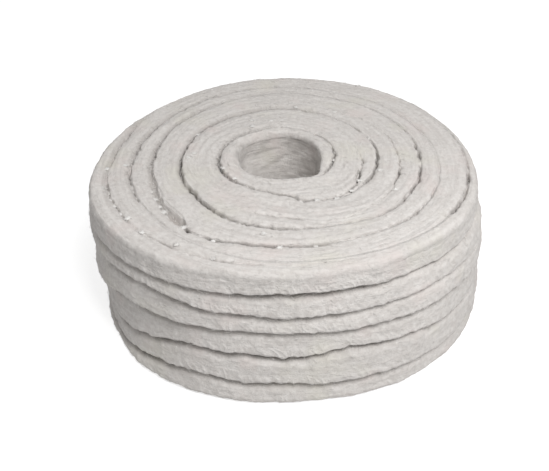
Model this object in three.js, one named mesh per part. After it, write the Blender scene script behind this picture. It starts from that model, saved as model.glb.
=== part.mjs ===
// A roll of square braided gland packing rope, the soft packing that is cut into rings for pump
// and valve glands. One length of rope is wound flat in a spiral, layer upon layer, round an open
// bore. Millimetres, +Z up. The roll stands on z = 0 with its middle over the origin.
import * as THREE from "three";

// Driving dimensions of the rope and of the winding
const ROPE_HEIGHT = 10;
const TURN_WIDTH = 10.3;
const TURNS = 6;
const LAYERS = 6;
const BORE_RADIUS = 18.5;

// Edges of the rope where turns and layers meet
const SEAM_DEPTH = 1.8;
const SEAM_LIP = 1.3;
const LIP_DROP = 0.3;
const SHOULDER_RADIUS = 3;
const FOOT_RADIUS = 2.2;
const BORE_EDGE_RADIUS = 1.5;
const WALL_SEAM_DEPTH = 2.2;
const WALL_BULGE = 0.7;

// How the hand winding departs from a true cylinder
const BELLY = 4.5;
const BELLY_HEIGHT_SHARE = 0.32;
const TOP_LEAN = 3.2;
const OUT_OF_ROUND = 1.8;
const BORE_OFFSET = 1.5;
// How far the seams between layers ride up at the front, from the floor to the top
const SEAM_RISE_AT_FRONT = [0, -0.8, 1.3, 1.4, -1.5, -1.8, 0];

// Where each face's spiral starts at the bore, in degrees anticlockwise from +X
const TOP_START_DEGREES = -54;
const UNDERSIDE_START_DEGREES = 126;

// Facets round the roll
const COLUMNS = 60;

// Values that follow from the sizes above
const TOP_RADIUS = BORE_RADIUS + TURNS * TURN_WIDTH;
const ROLL_HEIGHT = LAYERS * ROPE_HEIGHT;
const FRONT = -Math.PI / 2;

const angleOf = (column) => (2 * Math.PI * column) / COLUMNS;
const columnAt = (degrees) => Math.round((degrees / 360) * COLUMNS);
const wrap = (column) => THREE.MathUtils.euclideanModulo(column, COLUMNS);

// A list's value at a share of its length, in straight lines between its entries
function along(list, share) {
  const place = THREE.MathUtils.clamp(share, 0, 1) * (list.length - 1);
  const low = Math.min(Math.floor(place), list.length - 2);
  return THREE.MathUtils.lerp(list[low], list[low + 1], place - low);
}

// Height share of a layer's middle: 0 for the lowest layer, 1 for the top one
const layerShare = (layer) => (LAYERS > 1 ? layer / (LAYERS - 1) : 1);

// The top layers lean to the left, so the bore and the upper turns sit off the middle
const leanAt = (share) => -TOP_LEAN * share * share;

// A layer's outer radius: widest low down, as the belly of a soft roll
function layerRadius(layer) {
  const share = layerShare(layer);
  const span = Math.max(BELLY_HEIGHT_SHARE, 1 - BELLY_HEIGHT_SHARE);
  const fall = (share - BELLY_HEIGHT_SHARE) / span;
  return TOP_RADIUS + BELLY * (1 - fall * fall);
}

// A point of a layer's outer wall, set in from the wall by a distance
function wallPoint(layer, angle, inset, z) {
  const oval = OUT_OF_ROUND * (Math.sin(2 * angle) - Math.sin(3 * angle));
  const radius = layerRadius(layer) + oval - inset;
  const x = leanAt(layerShare(layer)) + radius * Math.cos(angle);
  return new THREE.Vector3(x, radius * Math.sin(angle), z);
}

// A point of the bore, set back from its wall by a distance
function borePoint(angle, inset, z) {
  const radius = BORE_RADIUS + inset;
  const x = leanAt(1) - BORE_OFFSET + radius * Math.cos(angle);
  return new THREE.Vector3(x, radius * Math.sin(angle), z);
}

// Height of the seam under a layer at an angle round the roll
function seamHeight(layer, angle) {
  const rise = along(SEAM_RISE_AT_FRONT, layer / LAYERS);
  return layer * ROPE_HEIGHT + rise * Math.cos(angle - FRONT);
}

// The skin of a closed solid, gathered ring by ring and strip by strip
class Skin {
  constructor() {
    this.points = [];
    this.faces = [];
  }

  vertex(point) {
    return this.points.push(point) - 1;
  }

  triangle(a, b, c) {
    if (a !== b && b !== c && c !== a) this.faces.push(a, b, c);
  }

  // Faces between two lines of vertices that lie side by side
  strip(line, next) {
    for (let i = 0; i + 1 < line.length; i++) {
      this.triangle(line[i], line[i + 1], next[i + 1]);
      this.triangle(line[i], next[i + 1], next[i]);
    }
  }

  // One vertex for each column round the roll
  ring(pointAt) {
    return Array.from({ length: COLUMNS }, (_, column) => this.vertex(pointAt(angleOf(column))));
  }

  // Faces between rings that follow each other round the roll's section
  bands(rings) {
    for (let column = 0; column < COLUMNS; column++) {
      const after = wrap(column + 1);
      this.strip(
        rings.map((ring) => ring[column]),
        rings.map((ring) => ring[after]),
      );
    }
  }

  geometry() {
    const made = new THREE.BufferGeometry().setFromPoints(this.points);
    made.setIndex(this.faces);
    made.computeVertexNormals();
    return made;
  }
}

// Section of a turn across its flat, from one seam to the next: place in mm, height under the crown
function turnSection(width) {
  const lip = Math.min(SEAM_LIP, width / 3);
  return [
    { place: lip, drop: LIP_DROP },
    { place: width / 2, drop: 0 },
    { place: width - lip, drop: LIP_DROP },
  ];
}

// Section of a turn that rests on the floor: level between its two lips
function restingSection(width) {
  const lip = Math.min(SEAM_LIP, width / 3);
  return [
    { place: lip, drop: 0 },
    { place: width - lip, drop: 0 },
  ];
}

// A flat face of turns between the rim of the bore and the outer rim. Its one seam runs from the
// inner rim to the outer rim in TURNS revolutions, so the first and the last turn taper to nothing.
// way is 1 where the spiral opens anticlockwise seen from above, and -1 where it opens clockwise.
function spiralFace(skin, { innerRim, outerRim, start, way, section, level }) {
  const lastStep = TURNS * COLUMNS;
  const columnOf = (step) => wrap(start + way * step);
  const plan = (step) => {
    const share = THREE.MathUtils.clamp(step / lastStep, 0, 1);
    const inner = skin.points[innerRim[columnOf(step)]];
    const outer = skin.points[outerRim[columnOf(step)]];
    return inner.clone().lerp(outer, share);
  };
  const seams = new Map();
  const seam = (step) => {
    if (step <= 0) return innerRim[columnOf(step)];
    if (step >= lastStep) return outerRim[columnOf(step)];
    if (!seams.has(step)) {
      const ends = Math.min(step, lastStep - step) / (COLUMNS / 12);
      const depth = SEAM_DEPTH * THREE.MathUtils.smoothstep(ends, 0, 1);
      seams.set(step, skin.vertex(plan(step).setZ(level - way * depth)));
    }
    return seams.get(step);
  };
  const line = (step) => {
    const inner = seam(step - COLUMNS);
    const outer = seam(step);
    const from = plan(step - COLUMNS);
    const to = plan(step);
    const width = from.distanceTo(to);
    const between = section(width).map(({ place, drop }) => {
      if (inner === outer) return inner;
      const point = from.clone().lerp(to, place / width);
      return skin.vertex(point.setZ(level - way * drop));
    });
    return [inner, ...between, outer];
  };
  let before = line(0);
  for (let step = 1; step <= lastStep + COLUMNS; step++) {
    const after = line(step);
    skin.strip(before, after);
    before = after;
  }
}

// Rings of a rounded edge between a level face and a wall, from the face to the wall
function edgeRings(skin, pointAt, level, radius, down) {
  return [0, 1, 2].map((part) => {
    const turn = (part * Math.PI) / 4;
    const inset = radius * (1 - Math.sin(turn));
    const fall = radius * (1 - Math.cos(turn));
    return skin.ring((angle) => pointAt(angle, inset, level - down * fall));
  });
}

// The outer wall from the top rim down to the foot: a bulging band for each layer, a seam between
function outerWall(skin) {
  const shoulder = Math.min(SHOULDER_RADIUS, ROPE_HEIGHT / 3);
  const foot = Math.min(FOOT_RADIUS, ROPE_HEIGHT / 3);
  const top = LAYERS - 1;
  const rings = edgeRings(skin, (a, inset, z) => wallPoint(top, a, inset, z), ROLL_HEIGHT, shoulder, 1);
  for (let layer = top; layer > 0; layer--) {
    const middle = (angle) => (seamHeight(layer, angle) + seamHeight(layer + 1, angle)) / 2;
    const groove = (angle) => {
      const above = wallPoint(layer, angle, WALL_SEAM_DEPTH, seamHeight(layer, angle));
      const below = wallPoint(layer - 1, angle, WALL_SEAM_DEPTH, seamHeight(layer, angle));
      return above.lengthSq() < below.lengthSq() ? above : below;
    };
    if (layer < top) rings.push(skin.ring((angle) => wallPoint(layer, angle, 0, middle(angle))));
    rings.push(
      skin.ring((angle) => wallPoint(layer, angle, WALL_BULGE, seamHeight(layer, angle) + SEAM_LIP)),
      skin.ring(groove),
      skin.ring((angle) => wallPoint(layer - 1, angle, WALL_BULGE, seamHeight(layer, angle) - SEAM_LIP)),
    );
  }
  rings.push(...edgeRings(skin, (a, inset, z) => wallPoint(0, a, inset, z), 0, foot, -1).reverse());
  return rings;
}

// The wall of the bore from its lower edge up to its upper edge
function boreWall(skin) {
  const edge = Math.min(BORE_EDGE_RADIUS, ROPE_HEIGHT / 3);
  const rings = edgeRings(skin, borePoint, 0, edge, -1);
  for (let layer = 1; layer < LAYERS; layer++) {
    const seam = layer * ROPE_HEIGHT;
    rings.push(
      skin.ring((angle) => borePoint(angle, 0, seam - SEAM_LIP)),
      skin.ring((angle) => borePoint(angle, SEAM_DEPTH, seam)),
      skin.ring((angle) => borePoint(angle, 0, seam + SEAM_LIP)),
    );
  }
  rings.push(...edgeRings(skin, borePoint, ROLL_HEIGHT, edge, 1).reverse());
  return rings;
}

// The whole roll as one closed skin
function rollGeometry() {
  const skin = new Skin();
  const outer = outerWall(skin);
  const bore = boreWall(skin);
  skin.bands(outer);
  skin.bands(bore);
  spiralFace(skin, {
    innerRim: bore[bore.length - 1],
    outerRim: outer[0],
    start: columnAt(TOP_START_DEGREES),
    way: 1,
    section: turnSection,
    level: ROLL_HEIGHT,
  });
  spiralFace(skin, {
    innerRim: bore[0],
    outerRim: outer[outer.length - 1],
    start: columnAt(UNDERSIDE_START_DEGREES),
    way: -1,
    section: restingSection,
    level: 0,
  });
  return skin.geometry();
}

// Dry off-white mineral fibre, with no shine
function packingFibre() {
  return new THREE.MeshStandardMaterial({ color: 0xd3cfca, roughness: 0.95, metalness: 0 });
}

const roll = new THREE.Mesh(rollGeometry(), packingFibre());
roll.name = "packing_roll";

// The origin lies under the middle of the roll's outer box
roll.geometry.computeBoundingBox();
const middle = roll.geometry.boundingBox.getCenter(new THREE.Vector3());
roll.position.set(-middle.x, -middle.y, 0);

const part = new THREE.Group();
part.add(roll);

export default part;
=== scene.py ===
"""A roll of square braided gland packing rope, wound flat in turns and stacked in six layers.

Each layer is a closed ring of its own: the outer wall, the hidden faces it rests on, and the bore.
The top layer also carries the spiral of turns. Loose fibres lie over them all.

Sizes are in millimetres until a mesh is made. Directions round the roll are in degrees,
anticlockwise from +X: -90 is the front and 90 the back.
"""
import math
from collections import namedtuple

import bpy
import numpy as np
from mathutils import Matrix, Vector


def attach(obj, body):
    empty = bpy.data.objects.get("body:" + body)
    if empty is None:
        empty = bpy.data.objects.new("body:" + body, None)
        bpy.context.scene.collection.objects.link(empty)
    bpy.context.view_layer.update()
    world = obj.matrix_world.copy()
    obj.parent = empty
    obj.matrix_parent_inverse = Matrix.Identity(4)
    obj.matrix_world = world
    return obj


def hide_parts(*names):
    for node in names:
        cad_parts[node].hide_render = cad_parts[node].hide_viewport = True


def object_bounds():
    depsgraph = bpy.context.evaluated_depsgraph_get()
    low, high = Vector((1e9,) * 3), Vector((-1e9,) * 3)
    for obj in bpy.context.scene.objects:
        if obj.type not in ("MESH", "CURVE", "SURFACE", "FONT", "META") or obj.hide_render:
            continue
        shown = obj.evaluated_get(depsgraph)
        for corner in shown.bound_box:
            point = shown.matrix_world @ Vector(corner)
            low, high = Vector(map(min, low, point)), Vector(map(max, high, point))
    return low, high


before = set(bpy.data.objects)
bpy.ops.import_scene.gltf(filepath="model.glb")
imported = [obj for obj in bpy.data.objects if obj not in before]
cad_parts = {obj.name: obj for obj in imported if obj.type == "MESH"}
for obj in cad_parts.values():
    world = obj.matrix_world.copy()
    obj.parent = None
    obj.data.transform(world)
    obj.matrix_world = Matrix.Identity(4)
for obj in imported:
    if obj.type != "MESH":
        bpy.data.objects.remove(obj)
cad_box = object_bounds()

MM = 0.001
NODE = "packing_roll"

# The winding, as in the solid
LAYERS = 6
TOP = LAYERS - 1
ROPE_HEIGHT = (cad_box[1].z - cad_box[0].z) / MM / LAYERS
ROLL_HEIGHT = LAYERS * ROPE_HEIGHT
TURN_WIDTH = 10.3
TURNS = 6
BORE_RADIUS = 18.5
TOP_RADIUS = BORE_RADIUS + TURNS * TURN_WIDTH
BELLY = 4.5
BELLY_AT = 0.32
TOP_LEAN = 3.2
OUT_OF_ROUND = 1.8
BORE_OFFSET = 1.5
MIDDLE = (0.59, -1.8)

# Where every ring starts and ends, and over how many degrees the rope's map fades there
WRAP_AT = 90.0
WRAP_FADE = 3.0

# Columns of vertices round the roll, and rows across the wall, the top, the underside and the bore
MIDDLE_COLUMNS = 760
BOTTOM_COLUMNS = 700
TOP_COLUMNS = 595
WALL_ROWS = 24
TOP_ROWS = 132
UNDER_ROWS = 56
BORE_SHARES = (1, 0.994, 0.87, 0.685, 0.5, 0.315, 0.13, 0.006, 0)

# How far the rows on top lie apart between the seams, and within reach of one
COARSE_SPACING = 0.95
FINE_SPACING = 0.23
FINE_REACH = 1.15
PATH_SAMPLES = 800

# How much of the bake's map a row takes up
WALL_WEIGHT = 0.42
TOP_WEIGHT = 0.47
LAST_TOP_WEIGHT = 0.4
BORE_WEIGHT = 1.0
UNDER_WEIGHT = 1.1
HIDDEN_WEIGHT = 0.3

# How far each layer's wall lies in from the plain winding, lowest layer first
SET_BACK_AT = (-180, -150, -135, -120, -105, -90, -60, -30, 0, 45, 90, 135)
SET_BACK = (
    (3, 1, -1.6, -1.6, -0.9, -0.5, -1, -0.6, 0.8, 0, 0, 0),
    (4, 3.4, 1.7, 1, 1, 1.2, -0.2, 0.8, 1.6, 0, 0, 0),
    (4.4, 4.2, 2.7, 2, 2.4, 3, 1.6, 1.6, 2.4, 0.4, 0, 0),
    (1.8, 1.6, 1.2, 1.4, 2, 2.4, 1.4, 0.6, 1.4, 0, 0, 0),
    (1, 0.6, 0.6, 0.6, 1, 1.2, 0.6, 0.2, 1, -0.5, 0, 0),
    (1.2, 0.4, 0, 0, 0, 0, 0, 0, 0.2, -2.2, -1.8, -0.9),
)

# Seams between layers, lowest first: (degrees, height in mm, how open from 0 to 1)
LAYER_SEAMS = (
    ((-180, 8, 0.7), (-150, 4.4, 1), (-138, 5.6, 1), (-126, 8.8, 0.9), (-116, 10.6, 0.8),
     (-100, 9.6, 0.8), (-88, 9.1, 0.7), (-72, 9.4, 0.36), (-58, 9.8, 0.24), (-40, 9.2, 0.12),
     (-15, 9.3, 0.1), (10, 9.5, 0.4), (90, 10, 0.6)),
    ((-180, 15, 0.8), (-150, 12.4, 1.1), (-138, 15.6, 0.9), (-128, 19.2, 0.9), (-118, 23.4, 0.8),
     (-104, 23.2, 1.1), (-91, 22.2, 1.1), (-78, 24, 0.9), (-61, 23.4, 0.75), (-50, 22, 0.45),
     (-38, 20.6, 0.14), (-15, 20, 0.12), (10, 19.5, 0.4), (90, 20, 0.6)),
    ((-180, 24, 0.9), (-165, 23.6, 1.15), (-154, 24.6, 1.15), (-144, 29.2, 1), (-134, 33, 0.8),
     (-118, 33.4, 0.55), (-104, 33.6, 0.5), (-91, 33.1, 0.5), (-76, 32.8, 0.4), (-56, 32.9, 0.4),
     (-40, 32.4, 0.6), (-22, 31.4, 1), (-8, 30.8, 1), (5, 30.4, 0.7), (90, 30, 0.6)),
    ((-180, 41, 0.6), (-142, 43.8, 0.55), (-126, 44.6, 0.55), (-112, 42, 0.6), (-95, 40.7, 0.6),
     (-77, 40.6, 0.5), (-62, 41.6, 0.35), (-42, 41.3, 0.14), (-20, 40.9, 0.06), (0, 40.5, 0.2),
     (90, 40, 0.5)),
    ((-180, 49, 0.3), (-140, 49.7, 0.28), (-122, 50.1, 0.34), (-112, 49.5, 0.5), (-96, 50.4, 0.8),
     (-86, 50.6, 1), (-72, 50.8, 0.9), (-58, 50.2, 0.45), (-40, 49.4, 0.2), (0, 49.2, 0.3),
     (90, 50, 0.5)),
)

# The spiral seam on top, from the bore to the rim: (degrees, share of the way, how open)
SPIRAL_SEAM = (
    (-55, 0, 0), (-35, 0.05, 0.3), (-20, 0.068, 1), (-5, 0.077, 0.9), (15, 0.098, 0.6),
    (35, 0.117, 0.3), (90, 0.158, 0.2), (125, 0.155, 0.45), (155, 0.16, 0.6), (185, 0.15, 0.8),
    (215, 0.144, 0.9), (238, 0.145, 0.5), (255, 0.152, 0.4), (270, 0.185, 0.7), (278, 0.215, 0.8),
    (283, 0.268, 0.9), (293, 0.283, 0.5), (308, 0.298, 0.2), (318, 0.304, 0.1), (326, 0.312, 0.2),
    (334, 0.333, 0.8), (350, 0.356, 0.9), (365, 0.377, 1), (380, 0.39, 0.6), (405, 0.405, 0.15),
    (425, 0.425, 0.4), (440, 0.434, 0.85), (455, 0.438, 0.8), (468, 0.443, 0.95), (500, 0.445, 1),
    (525, 0.424, 1), (550, 0.406, 1), (568, 0.41, 0.8), (580, 0.416, 0.9), (592, 0.455, 0.85),
    (605, 0.502, 0.7), (620, 0.545, 0.6), (634, 0.568, 0.65), (640, 0.574, 0.5), (650, 0.585, 0.1),
    (668, 0.602, 0.5), (690, 0.616, 0.55), (708, 0.635, 0.7), (716, 0.64, 0.3), (722, 0.652, 0.8),
    (735, 0.67, 0.4), (752, 0.69, 0.25), (810, 0.69, 0.2), (845, 0.677, 0.45), (870, 0.655, 0.7),
    (892, 0.618, 0.75), (912, 0.601, 0.35), (920, 0.583, 0.2), (926, 0.576, 0.1), (937, 0.598, 0.1),
    (944, 0.608, 0.1), (950, 0.626, 0.1), (953.5, 0.68, 0.2), (955.5, 0.724, 1.1), (957.5, 0.722, 0.2),
    (960, 0.72, 0.4), (963, 0.722, 1), (968, 0.727, 0.9), (977, 0.712, 0.9), (988, 0.728, 0.8),
    (1003, 0.738, 0.5), (1015, 0.745, 0.15), (1040, 0.742, 0.45), (1056, 0.746, 0.3), (1080, 0.76, 0.04),
    (1130, 0.79, 0.16), (1170, 0.808, 0.26), (1212, 0.802, 0.4), (1225, 0.787, 0.8), (1242, 0.762, 0.55),
    (1262, 0.742, 0.42), (1285, 0.728, 0.35), (1302, 0.735, 0.05), (1340, 0.86, 0), (1385, 0.905, 0),
    (1403, 0.911, 0), (1407, 0.912, 0.6), (1428, 0.93, 0.6), (1438, 0.945, 0.3), (1456, 0.958, 0.25),
    (1470, 0.966, 0), (1510, 1, 0),
)
SPIRAL_START = SPIRAL_SEAM[0][0]

# Shorter seams on top, given the same way
SHORT_SEAMS = (
    ((300, 0.291, 0.3), (312, 0.288, 0.7), (325, 0.279, 0.8), (340, 0.265, 0.9), (352, 0.267, 0.6),
     (362, 0.26, 0.3), (374, 0.25, 0)),
    ((325, 0.262, 0), (334, 0.247, 0.5), (343, 0.246, 0.5), (348, 0.252, 0)),
    ((638, 0.57, 0.1), (655, 0.54, 0.12), (672, 0.505, 0.16), (696, 0.499, 0.3), (702, 0.5, 0.95),
     (709, 0.503, 0.85), (716, 0.508, 0.3), (745, 0.528, 0.2), (775, 0.52, 0.15), (800, 0.5, 0)),
    ((135, 0.955, 0), (152, 0.938, 0.4), (166, 0.908, 0.6), (176, 0.888, 0.45), (192, 0.879, 0.5),
     (215, 0.868, 0.32), (230, 0.872, 0.34), (243, 0.892, 0.45), (258, 0.898, 0.3), (270, 0.905, 0.2),
     (284, 0.906, 0.12), (292, 0.908, 0)),
    ((255, 0.42, 0), (261, 0.43, 0.6), (268, 0.443, 0.5), (278, 0.472, 0.5), (281, 0.48, 0)),
)

# Soft folds on top with no crack in them, given the same way: a raised one has a minus
FOLDS = (
    ((160, 0.175, 0), (185, 0.178, 0.8), (205, 0.19, 0.8), (230, 0.262, 0.5), (262, 0.303, 0.5),
     (300, 0.325, 0)),
    ((96, 0.2, 0), (103, 0.2, -1), (116, 0.205, -1), (128, 0.247, -0.4), (142, 0.29, 0)),
)
FOLD_DEPTH = 0.7
FOLD_HALF_WIDTH = 1.3

# The open pocket beside a squeezed turn: (degrees, share of the way, depth share, half its width in mm)
POCKET = (
    (189, 0.601, 0, 1.1), (196, 0.601, 0.6, 1.4), (206, 0.604, 0.75, 1.6), (217, 0.63, 0.8, 1.8),
    (225, 0.648, 0.95, 2.3), (229, 0.664, 1, 2.4), (232.3, 0.68, 0.95, 1.7), (233.6, 0.69, 0, 1),
)
POCKET_DEPTH = 2.7
POCKET_SHADE = 0.56
POCKET_STEEPNESS = 2.2

# Steps where one turn stands above its neighbour: (degrees along the spiral, mm the inner turn is up)
TURN_STEPS = (
    (-60, 0), (120, 0), (180, 0.7), (230, 0.3), (283, 0.5), (330, 0.2), (420, 0), (440, -0.6),
    (495, -0.6), (512, 0.5), (540, 1.3), (590, 0.9), (630, 0.4), (660, 0.1), (760, 0.2), (880, 0.5),
    (926, 0.2), (950, 0.1), (958, -0.3), (1000, 0.3), (1090, 0.1), (1240, 0.5), (1290, 0),
    (1400, 0), (1415, 0.5), (1436, 0.2), (1450, 0),
)
STEP_WIDTH = 0.35
STEP_REACH = 5.0

# Where lint shows on top: (degrees, share of the way, how large)
LINT = (
    (206, 0.628, 0.9), (212, 0.64, 1.1), (217, 0.652, 1.1), (222, 0.67, 1.2), (234, 0.7, 0.9),
    (181, 0.36, 1), (176, 0.335, 0.7), (199, 0.905, 1.2), (205, 0.875, 0.7), (214, 0.868, 0.7),
    (118, 0.94, 0.7), (62, 0.955, 0.8), (112, 0.3, 0.9), (98, 0.245, 0.8), (90, 0.24, 0.7),
    (292, 0.29, 0.9), (305, 0.3, 0.9), (318, 0.29, 1), (330, 0.285, 0.8), (345, 0.385, 0.7),
    (187, 0.898, 0.8), (201, 0.87, 1), (209, 0.866, 0.9), (218, 0.86, 1), (226, 0.876, 0.9),
    (232, 0.874, 0.8), (186, 0.775, 0.7), (150, 0.44, 0.8), (100, 0.44, 0.9), (82, 0.46, 0.7),
    (60, 0.485, 0.7), (116, 0.205, 0.9), (200, 0.137, 0.7), (222, 0.136, 0.7), (282, 0.27, 0.8),
    (246, 0.728, 0.6), (268, 0.74, 0.8), (280, 0.735, 0.6), (-72, 0.03, 0.6), (-2, 0.085, 0.8),
    (238, 0.86, 0.8), (250, 0.89, 0.8), (262, 0.62, 0.7), (330, 0.53, 0.7), (25, 0.4, 0.7),
)
LINT_PER_TUFT = 70
LINT_SPREAD = 0.52
LINT_LENGTHS = (0.6, 1.6)
LINT_RADII = (0.08, 0.17)
LINT_SEARCH_DEPTH = 8.0
LINT_SINK = 1.2
LINT_RISE = 0.15
LINT_SEED = 31

# Over how many degrees the corners between a table's knots are rounded, on the wall and on top
CORNER_DEGREES = 5.0
CORNER_FALLOFF = math.pi / 2.4
KINK_OFFSETS = (-2.4, -1.2, 0.0, 1.2, 2.4)

# The bands of the outer wall: lips at a shut and an open seam, cracks, the slope of a band, and the painted
# shadow under the layer above
SHUT_LIP = 0.9
OPEN_LIP = 3.2
LOWER_LIP_REACH = 1.9
UPPER_LIP_REACH = 3.4
FOOT_INSET = 2.6
FOOT_REACH = 3.2
CRACK_DEPTH = 2.4
WIDE_CRACK_DEPTH = 1.2
LOWER_CRACK_REACH = 0.55
QUIET_REACH = 1.2
BAND_LEAN = 2.3
BAND_LEAN_FROM = 0.35
OVERHANG_HIDES = 1.3
PAINTED_OVERHANG_SHADE = 0.34
PAINTED_OVERHANG_REACH = 2.6

# The braid's slanting strands as relief: fine all over, and bolder near a band's lower lip
STRAND_PITCH = 3.9
STRAND_SLANT = 5.2
STRAND_HEIGHT = 0.16
LIP_STRAND_HEIGHT = 0.2
LIP_STRANDS_AT = 2.0
LIP_STRANDS_REACH = 1.8
TOP_STRAND_HEIGHT = 0.18

# The top's rounded edges
SHOULDER_RADIUS = 2.6
SHOULDER_BEND = SHOULDER_RADIUS * math.pi / 2
BORE_EDGE_RADIUS = 1.6
BORE_FLARE = 3.4
FLARE_AT = 160

# The bore is squeezed all round but for one corner
BORE_SQUEEZE = 1.6
BORE_CORNER = 2.6
BORE_CORNER_AT = -46
BORE_CORNER_SPREAD = 16
BORE_PLAIN_REACH = 3.4
BORE_TWIST = 3.0
# Mottled painted shade inside the bore
BORE_PAINTED_SHADE = 0.42
BORE_SHADE_LEVEL = 0.15

# How far the bore's mouth is pushed outward, and the heights over which that fades out
MOUTH_AT = (-180, -134, -110, -66, -36, -13, 20, 45, 65, 87, 108, 132, 152)
MOUTH = (0.1, -0.6, -1.2, -1.2, 0.5, 0.0, 0.3, 2.4, 5.1, 6.2, 6.4, 5.7, 3.7)
MOUTH_FROM = 18.0
MOUTH_FULL = 54.0
MOUTH_UNEVEN_AT = 130

# A seam on top: the crack, the soft valley round it, and the strip of painted shade on its outer side
TURN_CRACK_DEPTH = 2.5
TURN_CRACK_REACH = 0.34
OPEN_CRACK_REACH = 0.3
CRACK_SHADE_MARGIN = 0.2
VALLEY_DEPTH = 0.2
OPEN_VALLEY_DEPTH = 0.45
VALLEY_REACH = 1.5
HALO_AT = 0.7
HALO_INWARD = 0.7
HALO_OUTWARD = 1.9
HALO_SHADE = 0.4
HALO_DEPTH = 0.45
HALO_DIRECTION = 145
CALM_REACH = 1.3

# Added across a turn's top in the rope's map, to keep the strands of its lower edge off it
TOP_SMOOTH = 4.4

# The spiral of turns underneath, with painted shade in its grooves
UNDER_START = 126.0
UNDER_GROOVE = 1.8
UNDER_GROOVE_REACH = 1.5
UNDER_SHADE = 0.6
UNDER_SHADE_REACH = 0.8

# Noise: (strength, size of a cell in mm, seed). A layer's or a seam's number is added to the seed
NOISE_CELLS = 193
SEAM_CRUMBLE = ((0.33, 3.4, 40), (0.2, 1.6, 50), (0.5, 13, 55))
SEAM_BREAKS = ((0.32, 5, 60),)
RAGGED_LIP = ((0.16, 2.6, 70),)
BAND_SWELL = ((0.375, 24, 80), (0.15, 7, 90))
BAND_MATTING = ((0.5, 11, 100),)
BAND_WARP = ((0.8, 6, 110),)
BAND_GRAIN = ((0.17, 1.6, 120), (0.08, 0.8, 130), (0.2, 3.6, 125))
BORE_BULGE = ((0.6, 8, 140), (0.25, 2.6, 150))
BORE_SHADE_MOTTLE = ((1, 4.2, 155), (0.6, 2, 156))
MOUTH_UNEVEN = ((0.7, 7, 145),)
TURN_BREAKS = ((0.36, 4.2, 200), (0.36, 1.3, 210))
TURN_WANDER = ((0.4, 3, 220), (0.36, 1.2, 240))
TOP_SWELL = ((0.5, 26, 260), (0.22, 8, 261))
TOP_MATTING = ((0.5, 11, 262),)
TOP_WARP = ((0.8, 6, 263),)
TOP_GRAIN = ((0.11, 1.5, 264), (0.07, 0.8, 265))
POCKET_RAGGED = ((0.4, 1.7, 270), (0.3, 4, 271))
UNDER_WANDER = ((0.25, 3, 300),)

# Streaks along the turns on top: (strength, cell along in mm, cell across in mm, seed)
TOP_STREAKS = ((0.2, 15, 1.5, 266), (0.15, 8, 0.9, 267))

# Loose fibres. The spread is in degrees, and behind is the share of a fibre that lies behind its root
Fibres = namedtuple("Fibres", "count spread lengths radii lift behind seed")
SEAM_FIBRES = Fibres(count=5200, spread=80, lengths=(0.9, 2.8), radii=(0.05, 0.14), lift=(0.3, 1.1),
                     behind=0.5, seed=11)
SURFACE_FUZZ = Fibres(count=9000, spread=55, lengths=(1.2, 3.6), radii=(0.04, 0.085), lift=(-0.03, -0.03),
                      behind=0.0, seed=21)
FIBRE_STATIONS = 4
FIBRE_SIDES = 3
FIBRE_TAPER = 0.75
FIBRE_CURL = 0.35
FIBRE_ARCH = 0.3
LOWEST_FIBRE = 0.1
LOWEST_ROOT = 0.8

# Colours of the dry fibre, of its dust and of what clings to it, and the dark colour of the painted shade
# in its seams and gaps
FIBRE_COLOUR = (0.655, 0.622, 0.595, 1)
PALE_COLOUR = (0.73, 0.702, 0.676, 1)
DUSTY_COLOUR = (0.56, 0.527, 0.5, 1)
PINK_COLOUR = (0.675, 0.603, 0.575, 1)
YELLOW_COLOUR = (0.665, 0.64, 0.565, 1)
SEAM_SHADE_COLOUR = (0.14, 0.12, 0.106, 1)
SPECK_COLOUR = (0.36, 0.33, 0.305, 1)
LINT_COLOUR = (0.86, 0.845, 0.82, 1)
BRIGHT_COLOUR = (0.92, 0.91, 0.89, 1)
WHITE = (1, 1, 1, 1)

# The painted strands and streaks of the braid, in metres and degrees
STRAND_WIDTH = 0.0029
STRAND_RISE = 0.0044
STROKE_SLANT = 38
BUMP_DEPTH = 0.0007

# Camera at the photograph's viewing angle, and the studio, in metres
CAMERA_EYE = Vector((-0.0069, -0.2615, 0.2096))
CAMERA_AIM = Vector((-0.0069, -0.0018, 0.0188))
KEY_EYE = Vector((0.12, -0.23, 0.4))
KEY_AIM = Vector((0, 0, 0.05))
WORLD_LEVEL = 0.43
FLOOR_HALF = 2.5
FLOOR_PAINT = (0.7, 0.7, 0.7, 1)
FLOOR_GLOW = 0.66


def eased(share):
    """A share from 0 to 1 that starts and ends gently."""
    return share * share * (3 - 2 * share)


def unit(vectors):
    """Vectors with their length made one."""
    return vectors / (np.linalg.norm(vectors, axis=-1, keepdims=True) + 1e-9)


def clamp(value):
    """A value kept from 0 to 1."""
    return np.clip(value, 0, 1)


def edge(distance, reach):
    """From 1 on an edge down to 0 at a distance, round like a soft rope's corner."""
    return clamp(1 - distance / reach) ** 2.3


def degrees_round(columns):
    """Evenly spaced directions, from the back round to the back again."""
    return WRAP_AT - 360 + 360 * np.arange(columns) / columns


def degrees_from(direction, degrees):
    """How many degrees lie between a direction and others, from -180 to 180."""
    return (degrees - direction + 180) % 360 - 180


def smooth_curve(knots, values, places):
    """Straight lines between knots, with their corners rounded over a few degrees."""
    offsets = np.linspace(-1, 1, 9) * CORNER_DEGREES
    weights = np.cos(offsets / CORNER_DEGREES * CORNER_FALLOFF)
    total = sum(w * np.interp(places + o, knots, values) for o, w in zip(offsets, weights))
    return total / weights.sum()


def around(table_degrees, values, degrees):
    """A value that closes on itself round the roll."""
    knots = np.asarray(table_degrees, float)
    repeated = np.concatenate([knots - 720, knots - 360, knots, knots + 360])
    return smooth_curve(repeated, np.tile(np.asarray(values, float), 4), degrees)


def smooth_seam(table, column, places):
    """A seam's value with its corners rounded over a couple of degrees, so that kinks stay."""
    total = sum(np.interp(places + offset, table[:, 0], table[:, column]) for offset in KINK_OFFSETS)
    return total / len(KINK_OFFSETS)


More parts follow.
